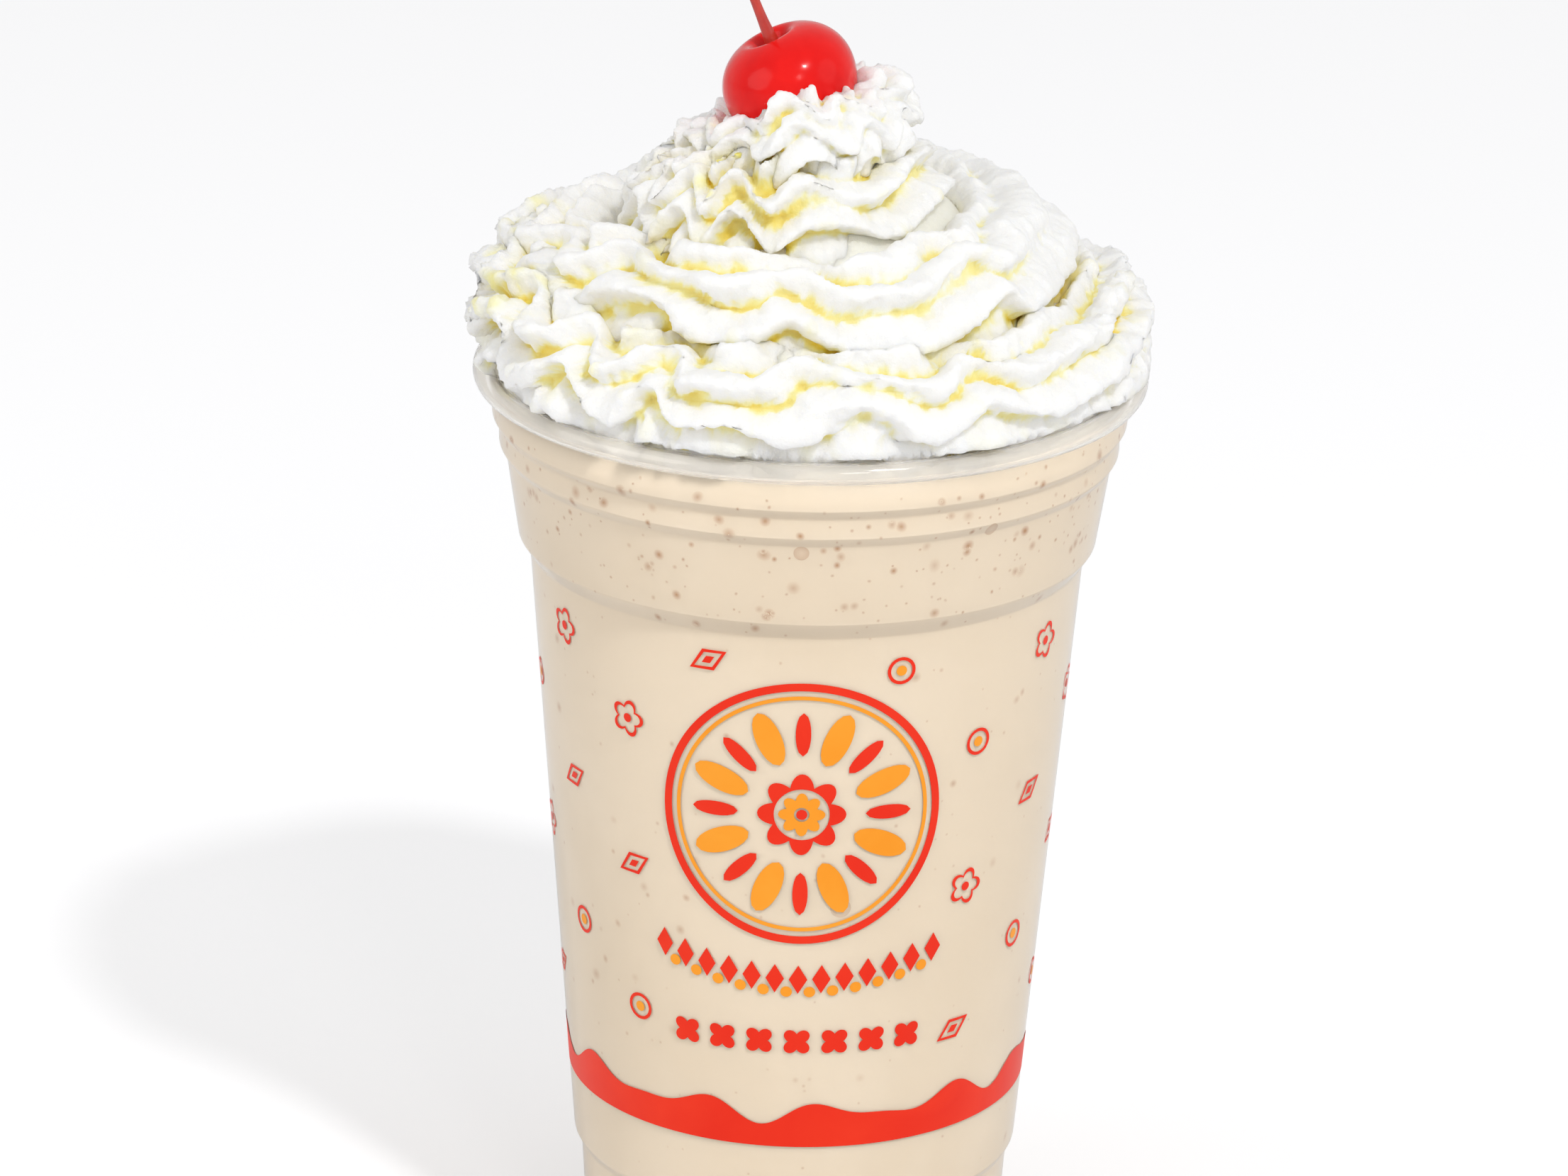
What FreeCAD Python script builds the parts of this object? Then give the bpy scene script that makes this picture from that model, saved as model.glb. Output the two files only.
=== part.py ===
"""A milkshake to go: a clear thermoformed cup with a curled lip, the drink that fills it,
a piped heap of whipped cream and a stemmed cherry. Millimetres, +Z up, the origin at the
middle of the foot that the cup stands on."""

import FreeCAD
import Part
import math
import os

import Sketcher

SIZES = {
    # cup
    "rim_diameter": 98.0,
    "base_diameter": 61.4,
    "cup_height": 144.0,
    "wall": 0.4,
    "curl_radius": 1.6,
    "curl_sweep": 285.0,
    "neck_depth": 7.8,
    "neck_step": 1.05,
    "ridge_height": 3.0,
    "ridge_step": 1.0,
    "step_drop": 1.4,
    "band_height": 12.4,
    "band_taper": 1.9,
    "shoulder_step": 1.75,
    "shoulder_drop": 2.6,
    "base_height": 21.6,
    "base_step": 1.1,
    "base_drop": 1.8,
    "base_taper": 1.35,
    "foot_width": 2.6,
    "foot_round": 1.6,
    "pushup_depth": 3.2,
    "pushup_slope": 2.4,
    "step_round": 0.7,
    # drink
    "fill_depth": 3.4,
    # whipped cream
    "cream_height": 42.0,
    "cream_overhang": 2.0,
    "cream_lip_gap": 0.3,
    "cream_foot_gap": 1.6,
    "cream_lean": 4.0,
    "rope_turns": 3.0,
    "rope_radius": 9.0,
    "rope_tip_radius": 5.5,
    "heap_tip_radius": 12.5,
    "rope_sink": 2.5,
    "fins": 4.5,
    "fin_depth": 1.3,
    "fin_waves": 13.0,
    "fin_sway": 1.2,
    # cherry and stem
    "cherry_diameter": 19.6,
    "cherry_shoulder": 2.6,
    "cherry_sink": 10.0,
    "cherry_tilt": 25.0,
    "dimple_radius": 4.4,
    "dimple_depth": 3.2,
    "dimple_round": 1.6,
    "seat_gap": 0.15,
    "stem_length": 38.0,
    "stem_diameter": 1.4,
    "stem_foot_diameter": 2.8,
    "stem_tip_diameter": 2.2,
    "stem_bend": 5.0,
}

# Where the cup's outline turns, worked out from the sizes.
STATIONS = {
    "neck_radius": "sizes.rim_diameter / 2 - 2 * sizes.curl_radius + sizes.wall",
    "ridge_radius": "stations.neck_radius - sizes.neck_step",
    "band_top_radius": "stations.ridge_radius - sizes.ridge_step",
    "band_foot_radius": "stations.band_top_radius - sizes.band_taper",
    "body_top_radius": "stations.band_foot_radius - sizes.shoulder_step",
    "base_foot_radius": "sizes.base_diameter / 2",
    "base_top_radius": "stations.base_foot_radius + sizes.base_taper",
    "body_foot_radius": "stations.base_top_radius + sizes.base_step",
    "pushup_radius": "stations.base_foot_radius - sizes.foot_round - sizes.foot_width",
    "pushup_top_radius": "stations.pushup_radius - sizes.pushup_slope",
    "curl_z": "sizes.cup_height - sizes.curl_radius",
    "neck_foot_z": "sizes.cup_height - sizes.neck_depth",
    "ridge_top_z": "stations.neck_foot_z - sizes.step_drop",
    "ridge_foot_z": "stations.ridge_top_z - sizes.ridge_height",
    "band_top_z": "stations.ridge_foot_z - sizes.step_drop",
    "band_foot_z": "stations.band_top_z - sizes.band_height",
    "body_top_z": "stations.band_foot_z - sizes.shoulder_drop",
    "base_top_z": "sizes.base_height",
    "body_foot_z": "sizes.base_height + sizes.base_drop",
    "fill_z": "sizes.cup_height - sizes.fill_depth",
    "curl_centre": "sizes.rim_diameter / 2 - sizes.curl_radius",
    "cherry_z": "sizes.cup_height + sizes.cream_height - sizes.cherry_sink + sizes.cherry_diameter / 2",
    "dimple_z": "sizes.cherry_diameter / 2 - sizes.cherry_shoulder - sizes.dimple_depth",
    "dimple_floor": "sizes.stem_foot_diameter / 2 + sizes.seat_gap",
}

# The outside of the cup from the middle of its foot up to the curl: radius, height and how the
# corner is rounded.
OUTLINE = [
    ("0", "sizes.pushup_depth", None),
    ("stations.pushup_top_radius", "sizes.pushup_depth", "step"),
    ("stations.pushup_radius", "0", "step"),
    ("stations.base_foot_radius", "0", "foot"),
    ("stations.base_top_radius", "stations.base_top_z", "step"),
    ("stations.body_foot_radius", "stations.body_foot_z", "step"),
    ("stations.body_top_radius", "stations.body_top_z", "step"),
    ("stations.band_foot_radius", "stations.band_foot_z", "step"),
    ("stations.band_top_radius", "stations.band_top_z", "step"),
    ("stations.ridge_radius", "stations.ridge_foot_z", "step"),
    ("stations.ridge_radius", "stations.ridge_top_z", "step"),
    ("stations.neck_radius", "stations.neck_foot_z", "step"),
    ("stations.neck_radius", "stations.curl_z", None),
    ("0", "stations.curl_z", None),
]

# How far up the stem each of its sections sits, and how thick it is there.
STEM_SECTIONS = [
    (0.0, "sizes.stem_foot_diameter"),
    (0.06, "(sizes.stem_foot_diameter + sizes.stem_diameter) / 2"),
    (0.2, "sizes.stem_diameter"),
    (0.6, "sizes.stem_diameter"),
    (0.93, "sizes.stem_diameter"),
    (1.0, "sizes.stem_tip_diameter"),
]

EDGE_MATCH = 1e-3

# The grid that carries the cream's surface, and how its rays fan out from the heap's axis.
HEAP_ROWS = 44
HEAP_COLUMNS = 84
LAST_AIM = 86.0
LIFT_SHARE = 0.5
CORE_SHARE = 0.62
SOFTNESS = 0.6
RISE_POWER = 0.95


def make_sheet(doc):
    """The spreadsheet of driving dimensions, one alias to a cell."""
    sheet = doc.addObject("Spreadsheet::Sheet", "sizes")
    for row, (name, value) in enumerate(SIZES.items(), start=1):
        sheet.set(f"A{row}", name)
        sheet.set(f"B{row}", str(value))
        sheet.setAlias(f"B{row}", name)
    doc.recompute()
    return sheet


def make_stations(doc):
    """The radii and heights that follow from the sheet."""
    stations = doc.addObject("App::VarSet", "stations")
    for name, formula in STATIONS.items():
        stations.addProperty("App::PropertyFloat", name, "Outline")
        stations.setExpression(name, formula)
        doc.recompute()
    return stations


def origin_plane(body, role):
    """One of the body's own base planes."""
    return next(item for item in body.Origin.OriginFeatures if item.Role == role)


def origin_axis(body, role):
    """One of the body's own base axes, as a link for a turned feature."""
    return (origin_plane(body, role), [""])


def new_body(doc, label):
    body = doc.addObject("PartDesign::Body", label)
    body.Label = label
    return body


def new_sketch(body, name, role="XZ_Plane"):
    sketch = body.newObject("Sketcher::SketchObject", name)
    sketch.AttachmentSupport = (origin_plane(body, role), [""])
    sketch.MapMode = "FlatFace"
    return sketch


def pin_point(sketch, edge, end, across, up):
    """Holds an edge's end at a distance from the sketch's origin, by expressions."""
    for kind, formula in (("DistanceX", across), ("DistanceY", up)):
        if formula == "0":
            axis = -2 if kind == "DistanceX" else -1
            sketch.addConstraint(Sketcher.Constraint("PointOnObject", edge, end, axis))
            continue
        value = sketch.evalExpression(formula)
        index = sketch.addConstraint(Sketcher.Constraint(kind, -1, 1, edge, end, float(value)))
        sketch.setExpression(f"Constraints[{index}]", formula)


def add_polyline(sketch, corners):
    """A closed outline whose corners follow their expressions."""
    spots = [FreeCAD.Vector(float(sketch.evalExpression(x)), float(sketch.evalExpression(y)), 0)
             for x, y in corners]
    for start, end in zip(spots, spots[1:] + spots[:1]):
        sketch.addGeometry(Part.LineSegment(start, end), False)
    for edge in range(len(spots)):
        following = (edge + 1) % len(spots)
        sketch.addConstraint(Sketcher.Constraint("Coincident", edge, 2, following, 1))
    for edge, (x, y) in enumerate(corners):
        pin_point(sketch, edge, 1, x, y)


def revolve(body, name, sketch, kind="PartDesign::Revolution"):
    """A full turn of a sketch about the body's vertical axis."""
    turned = body.newObject(kind, name)
    turned.Profile = sketch
    turned.ReferenceAxis = origin_axis(body, "Z_Axis")
    turned.Angle = 360
    return turned


def ring_edges(shape, spots):
    """The names of the circular edges that run round the axis at the given radii and heights."""
    names = []
    for number, edge in enumerate(shape.Edges, start=1):
        curve = edge.Curve
        if not isinstance(curve, Part.Circle):
            continue
        for radius, height in spots:
            if abs(curve.Radius - radius) < EDGE_MATCH and abs(curve.Center.z - height) < EDGE_MATCH:
                names.append(f"Edge{number}")
    return names


def rings_above(shape, height):
    """The names of the edges that run level round the axis above a height."""
    return [f"Edge{number}" for number, edge in enumerate(shape.Edges, start=1)
            if edge.Length > EDGE_MATCH and edge.isClosed()
            and edge.BoundBox.ZLength < EDGE_MATCH and edge.BoundBox.ZMin > height]


def flat_face(shape, height):
    """The names of the flat faces that lie at a height."""
    return [f"Face{number}" for number, face in enumerate(shape.Faces, start=1)
            if abs(face.BoundBox.ZMin - height) < EDGE_MATCH
            and abs(face.BoundBox.ZMax - height) < EDGE_MATCH]


def round_edges(doc, body, name, base, edges, size):
    """A fillet along the given edges of the body's last feature."""
    rounding = body.newObject("PartDesign::Fillet", name)
    rounding.Base = (base, edges)
    rounding.setExpression("Radius", size)
    doc.recompute()
    return rounding


def turn_outline(doc, body):
    """The cup's outer form as one turned solid with its corners rounded."""
    sketch = new_sketch(body, body.Label + "_outline")
    add_polyline(sketch, [(across, up) for across, up, _ in OUTLINE])
    shape = revolve(body, body.Label + "_form", sketch)
    doc.recompute()
    for rounding in ("foot", "step"):
        spots = [(float(sketch.evalExpression(across)), float(sketch.evalExpression(up)))
                 for across, up, kind in OUTLINE if kind == rounding]
        edges = ring_edges(shape.Shape, spots)
        shape = round_edges(doc, body, f"{body.Label}_{rounding}_round", shape, edges,
                            f"sizes.{rounding}_round")
    return shape


def add_curl(body):
    """The rolled lip: the wall carried on over the top and back under itself."""
    sketch = new_sketch(body, "curl_section")
    stations = sketch.Document.stations
    sizes = sketch.Document.sizes
    centre = FreeCAD.Vector(stations.curl_centre, stations.curl_z, 0)
    start = math.radians(180 - sizes.curl_sweep)
    normal = FreeCAD.Vector(0, 0, 1)
    for radius in (sizes.curl_radius, sizes.curl_radius - sizes.wall):
        circle = Part.Circle(centre, normal, radius)
        sketch.addGeometry(Part.ArcOfCircle(circle, start, math.pi), False)
    outer, inner = sketch.Geometry
    sketch.addGeometry(Part.LineSegment(outer.EndPoint, inner.EndPoint), False)
    sketch.addGeometry(Part.LineSegment(inner.StartPoint, outer.StartPoint), False)
    for pair in ((0, 2, 2, 1), (2, 2, 1, 2), (1, 1, 3, 1), (3, 2, 0, 1), (0, 3, 1, 3)):
        sketch.addConstraint(Sketcher.Constraint("Coincident", *pair))
    pin_point(sketch, 0, 3, "stations.curl_centre", "stations.curl_z")
    for edge, formula in ((0, "sizes.curl_radius"), (1, "sizes.curl_radius - sizes.wall")):
        value = float(sketch.evalExpression(formula))
        index = sketch.addConstraint(Sketcher.Constraint("Radius", edge, value))
        sketch.setExpression(f"Constraints[{index}]", formula)
    for line in (2, 3):
        sketch.addConstraint(Sketcher.Constraint("PointOnObject", 0, 3, line))
    sketch.addConstraint(Sketcher.Constraint("Horizontal", 2))
    index = sketch.addConstraint(Sketcher.Constraint("Angle", 3, start))
    sketch.setExpression(f"Constraints[{index}]", "(180 - sizes.curl_sweep) * 1 deg")
    return revolve(body, "curl", sketch)


def make_cup(doc):
    """The clear cup: a turned form, hollowed from the top, with its lip rolled outwards."""
    body = new_body(doc, "cup")
    form = turn_outline(doc, body)
    shell = body.newObject("PartDesign::Thickness", "shell")
    shell.Base = (form, flat_face(form.Shape, doc.stations.curl_z))
    shell.setExpression("Value", "sizes.wall")
    shell.Reversed = True
    doc.recompute()
    add_curl(body)
    doc.recompute()
    return body


def make_milkshake(doc):
    """The drink: the inside of the cup, up to its level just under the lip."""
    form = new_body(doc, "drink_form")
    turn_outline(doc, form)
    inside = doc.addObject("Part::Offset", "drink_inside")
    inside.Source = form
    inside.setExpression("Value", "-sizes.wall")
    above = doc.addObject("Part::Cylinder", "above_the_drink")
    above.setExpression("Radius", "sizes.rim_diameter")
    above.setExpression("Height", "sizes.cup_height")
    above.setExpression("Placement.Base.z", "stations.fill_z")
    drink = doc.addObject("Part::Cut", "milkshake")
    drink.Base = inside
    drink.Tool = above
    drink.Label = "milkshake"
    return drink


def make_cherry(doc):
    """The cherry: a round lower half, fuller shoulders and a dimple round the stem's foot."""
    body = new_body(doc, "cherry")
    sketch = new_sketch(body, "cherry_outline")
    radius = doc.sizes.cherry_diameter / 2
    shoulder = doc.sizes.cherry_shoulder
    normal = FreeCAD.Vector(0, 0, 1)
    low = Part.Circle(FreeCAD.Vector(0, 0, 0), normal, radius)
    high = Part.Circle(FreeCAD.Vector(shoulder, 0, 0), normal, radius - shoulder)
    crown = math.acos(-shoulder / (radius - shoulder))
    sketch.addGeometry(Part.ArcOfCircle(low, -math.pi / 2, 0), False)
    sketch.addGeometry(Part.ArcOfCircle(high, 0, crown), False)
    lower, upper = sketch.Geometry
    sketch.addGeometry(Part.LineSegment(upper.EndPoint, lower.StartPoint), False)
    for pair in ((0, 2, 1, 1), (1, 2, 2, 1), (2, 2, 0, 1), (0, 3, -1, 1)):
        sketch.addConstraint(Sketcher.Constraint("Coincident", *pair))
    sketch.addConstraint(Sketcher.Constraint("PointOnObject", 2, 1, -2))
    sketch.addConstraint(Sketcher.Constraint("PointOnObject", 2, 2, -2))
    sketch.addConstraint(Sketcher.Constraint("PointOnObject", 1, 3, -1))
    sketch.addConstraint(Sketcher.Constraint("PointOnObject", 0, 2, -1))
    index = sketch.addConstraint(Sketcher.Constraint("Radius", 0, radius))
    sketch.setExpression(f"Constraints[{index}]", "sizes.cherry_diameter / 2")
    index = sketch.addConstraint(Sketcher.Constraint("DistanceX", -1, 1, 1, 3, shoulder))
    sketch.setExpression(f"Constraints[{index}]", "sizes.cherry_shoulder")
    fruit = revolve(body, "fruit", sketch)
    doc.recompute()
    dimple_sketch = new_sketch(body, "dimple_section")
    top = "sizes.cherry_diameter / 2"
    add_polyline(dimple_sketch, [
        ("0", "stations.dimple_z"),
        ("stations.dimple_floor", "stations.dimple_z"),
        ("sizes.dimple_radius", top),
        ("0", top),
    ])
    dimple = revolve(body, "dimple", dimple_sketch, "PartDesign::Groove")
    doc.recompute()
    if dimple.Shape.Volume >= fruit.Shape.Volume:
        raise RuntimeError("the dimple cuts nothing")
    rim = rings_above(dimple.Shape, doc.stations.dimple_z + EDGE_MATCH)
    round_edges(doc, body, "dimple_rim_round", dimple, rim, "sizes.dimple_round")
    return body


def make_stem(doc):
    """The stem: a bent taper with a flared foot and a small knob at its tip, whose sections
    stand square to the bend."""
    body = new_body(doc, "cherry_stem")
    sections = []
    for number, (share, diameter) in enumerate(STEM_SECTIONS):
        sketch = new_sketch(body, f"stem_section_{number}", "XY_Plane")
        tip = FreeCAD.Rotation(FreeCAD.Vector(0, 1, 0), 1)
        sketch.AttachmentOffset = FreeCAD.Placement(FreeCAD.Vector(), tip)
        height = f"stations.dimple_z + sizes.stem_length * {share}"
        sketch.setExpression("AttachmentOffset.Base.z", height)
        sketch.setExpression("AttachmentOffset.Base.x", f"sizes.stem_bend * {share * share}")
        slope = f"2 * sizes.stem_bend * {share} / sizes.stem_length"
        sketch.setExpression("AttachmentOffset.Rotation.Angle", f"atan({slope})")
        value = float(sketch.evalExpression(diameter))
        circle = Part.Circle(FreeCAD.Vector(0, 0, 0), FreeCAD.Vector(0, 0, 1), value / 2)
        sketch.addGeometry(circle, False)
        sketch.addConstraint(Sketcher.Constraint("Coincident", 0, 3, -1, 1))
        index = sketch.addConstraint(Sketcher.Constraint("Diameter", 0, value))
        sketch.setExpression(f"Constraints[{index}]", diameter)
        sections.append(sketch)
    loft = body.newObject("PartDesign::AdditiveLoft", "stem")
    loft.Profile = sections[0]
    loft.Sections = sections[1:]
    loft.Ruled = False
    doc.recompute()
    return body


def tilt_into_cream(item):
    """The cherry and its stem share one place: sunk in the top of the heap and leaning."""
    item.Placement = FreeCAD.Placement(FreeCAD.Vector(), FreeCAD.Rotation(FreeCAD.Vector(0, 1, 0), 1))
    item.setExpression("Placement.Base.x", "-sizes.cream_lean")
    item.setExpression("Placement.Base.z", "stations.cherry_z")
    item.setExpression("Placement.Rotation.Angle", "-sizes.cherry_tilt * 1 deg")


def rope_at(sizes, turn):
    """Where the rope of cream runs after so many turns: its circle's radius and height, its own
    radius and how far round the heap it has come."""
    share = turn / sizes.rope_turns
    own = sizes.rope_radius + (sizes.rope_tip_radius - sizes.rope_radius) * max(share, 0)
    first = sizes.rim_diameter / 2 + sizes.cream_overhang - sizes.rope_radius - sizes.fin_depth
    last = sizes.heap_tip_radius - sizes.rope_tip_radius
    radius = first + (last - first) * max(share, 0)
    low = sizes.rope_radius - sizes.rope_sink
    high = sizes.fill_depth + sizes.cream_height - sizes.rope_tip_radius
    height = low + (high - low) * max(share, 0) ** RISE_POWER
    return radius, height, own


def reach(sizes, around, aim, lift):
    """How far the heap's surface lies along a ray from its axis, over all the turns of rope."""
    across, up = math.cos(aim), math.sin(aim)
    hits = []
    first_turn = around / (2 * math.pi)
    for lap in range(-1, int(sizes.rope_turns) + 2):
        turn = first_turn + lap
        if turn > sizes.rope_turns:
            continue
        radius, height, own = rope_at(sizes, turn)
        rise = height - lift
        along = radius * across + rise * up
        off = (radius * up - rise * across) / own
        if abs(off) >= 1:
            continue
        depth = math.sqrt(1 - off * off)
        roll = math.atan2(-off, depth)
        wave = sizes.fins * roll + sizes.fin_sway * math.sin(sizes.fin_waves * 2 * math.pi * turn)
        fin = sizes.fin_depth * math.cos(wave) * depth
        hits.append(along + own * depth + fin)
    core = sizes.cream_height * CORE_SHARE
    hits.append(core)
    peak = max(hits)
    return peak + SOFTNESS * math.log(sum(math.exp((hit - peak) / SOFTNESS) for hit in hits))


def heap_grid(sizes, stations):
    """Rings of control points from the cream's foot on the drink to the top of the heap."""
    foot_limit = stations.neck_radius - sizes.wall - sizes.cream_foot_gap
    rings = []
    for row in range(HEAP_ROWS):
        share = row / (HEAP_ROWS - 1)
        aim = math.radians(LAST_AIM) * share
        lift = sizes.cream_height * LIFT_SHARE * share * share
        ring = []
        for column in range(HEAP_COLUMNS):
            around = 2 * math.pi * column / HEAP_COLUMNS
            far = reach(sizes, around, aim, lift)
            out = far * math.cos(aim)
            up = far * math.sin(aim) + lift
            if up < sizes.fill_depth + sizes.cream_lip_gap:
                out = min(out, foot_limit)
            lean = -sizes.cream_lean * up / sizes.cream_height
            ring.append(FreeCAD.Vector(out * math.cos(around) + lean, out * math.sin(around),
                                       stations.fill_z + up))
        rings.append(ring)
    return rings


def skin_face(rings):
    """One smooth surface over the rings, closed round the heap."""
    rows, columns, degree = len(rings), len(rings[0]), 3
    poles = [[ring[column] for ring in rings] for column in range(columns)]
    around_knots = list(range(columns + 1))
    up_knots = list(range(rows - degree + 1))
    up_counts = [degree + 1] + [1] * (len(up_knots) - 2) + [degree + 1]
    surface = Part.BSplineSurface()
    surface.buildFromPolesMultsKnots(poles, [1] * (columns + 1), up_counts, around_knots, up_knots,
                                     True, False, degree, degree)
    return surface.toShape()


def make_cream(doc, cherry):
    """The whipped cream: a rope piped in shrinking turns, cut round the lip and the cherry."""
    skin = skin_face(heap_grid(doc.sizes, doc.stations))
    rims = [edge for edge in skin.Edges if edge.isClosed() and not edge.isSeam(skin)]
    caps = [Part.Face(Part.Wire(edge)) for edge in rims]
    shell = Part.Shell([skin] + caps)
    shell.sewShape()
    heap = doc.addObject("Part::Feature", "heap_form")
    heap.Shape = Part.Solid(shell)
    lip = doc.addObject("Part::Torus", "lip_clearance")
    lip.setExpression("Radius1", "stations.curl_centre")
    lip.setExpression("Radius2", "sizes.curl_radius + sizes.cream_lip_gap")
    lip.setExpression("Placement.Base.z", "stations.curl_z")
    over_lip = doc.addObject("Part::Cut", "cream_over_lip")
    over_lip.Base = heap
    over_lip.Tool = lip
    cream = doc.addObject("Part::Cut", "whipped_cream")
    cream.Base = over_lip
    cream.Tool = cherry
    cream.Label = "whipped_cream"
    return cream


def export(doc, nodes):
    """Checks every object and writes each node's solid."""
    for item in doc.Objects:
        if "Invalid" in item.State or "Error" in item.State:
            raise RuntimeError(f"{item.Label} failed: {item.State}")
    for node in nodes:
        if node.Shape.isNull() or not node.Shape.isValid():
            raise RuntimeError(f"{node.Label} has no valid shape")
        if len(node.Shape.Solids) != 1:
            raise RuntimeError(f"{node.Label} is {len(node.Shape.Solids)} solids")
    os.makedirs("parts", exist_ok=True)
    for node in nodes:
        node.Shape.exportStep(f"parts/{node.Label}.step")
        print(f"{node.Label}: {node.Shape.Volume / 1000:.2f} cm3")


def main():
    doc = FreeCAD.newDocument("milkshake")
    make_sheet(doc)
    make_stations(doc)
    cup = make_cup(doc)
    milkshake = make_milkshake(doc)
    cherry = make_cherry(doc)
    stem = make_stem(doc)
    for item in (cherry, stem):
        tilt_into_cream(item)
    doc.recompute()
    cream = make_cream(doc, cherry)
    doc.recompute()
    export(doc, [cup, milkshake, cream, cherry, stem])


main()
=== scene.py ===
"""The looks of the milkshake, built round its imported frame.

Metres throughout; MM turns millimetres into them. Each section names its sizes and colours first
and then makes its pieces; the calls at the end build everything in turn."""

import math

import bpy
import numpy as np
from mathutils import Matrix, Vector
from mathutils.bvhtree import BVHTree


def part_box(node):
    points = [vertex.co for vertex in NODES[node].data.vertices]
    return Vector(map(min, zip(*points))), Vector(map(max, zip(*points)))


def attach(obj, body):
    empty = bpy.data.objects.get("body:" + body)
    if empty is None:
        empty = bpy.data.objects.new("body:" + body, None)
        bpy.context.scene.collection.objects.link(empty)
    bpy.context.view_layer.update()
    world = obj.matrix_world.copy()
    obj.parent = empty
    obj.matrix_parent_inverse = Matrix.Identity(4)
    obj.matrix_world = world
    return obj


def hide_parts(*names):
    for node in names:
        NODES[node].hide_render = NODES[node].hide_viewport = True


MM = 0.001
TAU = 2 * math.pi

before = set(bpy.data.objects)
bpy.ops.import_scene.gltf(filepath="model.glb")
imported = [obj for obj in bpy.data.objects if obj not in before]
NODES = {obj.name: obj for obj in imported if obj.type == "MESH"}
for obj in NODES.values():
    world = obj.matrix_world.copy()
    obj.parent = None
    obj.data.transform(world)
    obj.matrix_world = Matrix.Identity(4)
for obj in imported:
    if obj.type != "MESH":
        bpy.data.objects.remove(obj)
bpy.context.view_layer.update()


# ---------------------------------------------------------------- the frame's measures

def outline_of(node):
    """A turned node's radius against its height, from the frame's own mesh."""
    spots = np.array([vertex.co for vertex in NODES[node].data.vertices])
    radius = np.hypot(spots[:, 0], spots[:, 1])
    heights = np.round(spots[:, 2], 5)
    levels = np.unique(heights)
    return levels, np.array([np.max(radius[heights == level]) for level in levels])


CUP_WALL = 0.4 * MM
FLOOR_REACH = 20 * MM   # what is narrower belongs to the pushed-up floor

SHAKE_Z, SHAKE_R = outline_of("milkshake")
SHAKE_BODY_Z = SHAKE_Z[SHAKE_R > FLOOR_REACH]
SHAKE_BODY_R = SHAKE_R[SHAKE_R > FLOOR_REACH]
RIM_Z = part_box("cup")[1].z
RIM_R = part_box("cup")[1].x
CREAM_LOW, CREAM_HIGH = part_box("whipped_cream")
CREAM_MID = (CREAM_LOW + CREAM_HIGH) / 2
CREAM_REACH = min(CREAM_HIGH.x - CREAM_LOW.x, CREAM_HIGH.y - CREAM_LOW.y) / 2


def drink_radius(height):
    """The drink's radius at a height, where it meets the wall."""
    return np.interp(height, SHAKE_BODY_Z, SHAKE_BODY_R)


def wall_radius(height):
    """The cup's outer radius at a height below its lip."""
    return drink_radius(height) + CUP_WALL


# ---------------------------------------------------------------- small helpers

def new_mesh(name, verts, faces, smooth=True):
    """A piece from plain lists of points and faces, linked into the scene."""
    mesh = bpy.data.meshes.new(name)
    mesh.from_pydata([tuple(v) for v in verts], [], [tuple(f) for f in faces])
    mesh.validate()
    mesh.update()
    if smooth:
        mesh.polygons.foreach_set("use_smooth", [True] * len(mesh.polygons))
    piece = bpy.data.objects.new(name, mesh)
    bpy.context.scene.collection.objects.link(piece)
    return piece


def mark_points(piece, name, values):
    """Keeps a number with each point of a piece, for its material to read by that name."""
    layer = piece.data.attributes.new(name, "FLOAT", "POINT")
    layer.data.foreach_set("value", np.asarray(values, dtype=np.float32).reshape(-1))


def put_material(piece, material):
    """Gives a piece this material alone."""
    piece.data.materials.clear()
    piece.data.materials.append(material)


def new_material(name):
    """A new material, its node tree and its shader."""
    material = bpy.data.materials.new(name)
    material.use_nodes = True
    tree = material.node_tree
    return material, tree, tree.nodes["Principled BSDF"]


def add_node(tree, kind, **inputs):
    """A new node with its inputs set by name."""
    node = tree.nodes.new(kind)
    for key, value in inputs.items():
        node.inputs[key.replace("_", " ")].default_value = value
    return node


def set_inputs(shader, **inputs):
    """Sets a shader's inputs by name."""
    for key, value in inputs.items():
        shader.inputs[key.replace("_", " ")].default_value = value


# ---------------------------------------------------------------- camera and light

VIEW_DISTANCE = 1.0
VIEW_ELEVATION = math.radians(19.8)
VIEW_ROLL = math.radians(1.2)
VIEW_LENS = 156.4
AIM = Vector((-0.0032, 0.0, 0.1085))

LAMP_TARGET = Vector((0, 0, 0.12))
# Name, azimuth, elevation, distance, size, power; azimuth 0 is the viewer's side, degrees.
LAMPS = [
    ("key", 28.6, 48.7, 1.6, 0.12, 7.8),
    ("fill_left", -62, 22, 1.6, 1.2, 4.7),
    ("fill_right", 72, 24, 1.6, 1.2, 2.0),
    ("fill_front", 16, 29, 1.8, 0.3, 1.5),
]
WORLD_LIGHT = 0.65
WORLD_SEEN = 0.95
FLOOR_HALF = 6.0
FLOOR_COLOUR = (0.86, 0.86, 0.87, 1)
FLOOR_GLOW = 0.24
WHITE = (1, 1, 1, 1)


def make_camera():
    """The camera, from the front and a little above, with its slight roll."""
    data = bpy.data.cameras.new("camera")
    data.lens = VIEW_LENS
    data.sensor_width = 36.0
    data.clip_start = 0.01
    camera = bpy.data.objects.new("camera", data)
    back = Vector((0, -math.cos(VIEW_ELEVATION), math.sin(VIEW_ELEVATION)))
    camera.location = AIM + back * VIEW_DISTANCE
    look = (AIM - camera.location).to_track_quat("-Z", "Y")
    camera.rotation_mode = "QUATERNION"
    camera.rotation_quaternion = look @ Matrix.Rotation(VIEW_ROLL, 3, "Z").to_quaternion()
    bpy.context.scene.collection.objects.link(camera)
    bpy.context.scene.camera = camera


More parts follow.
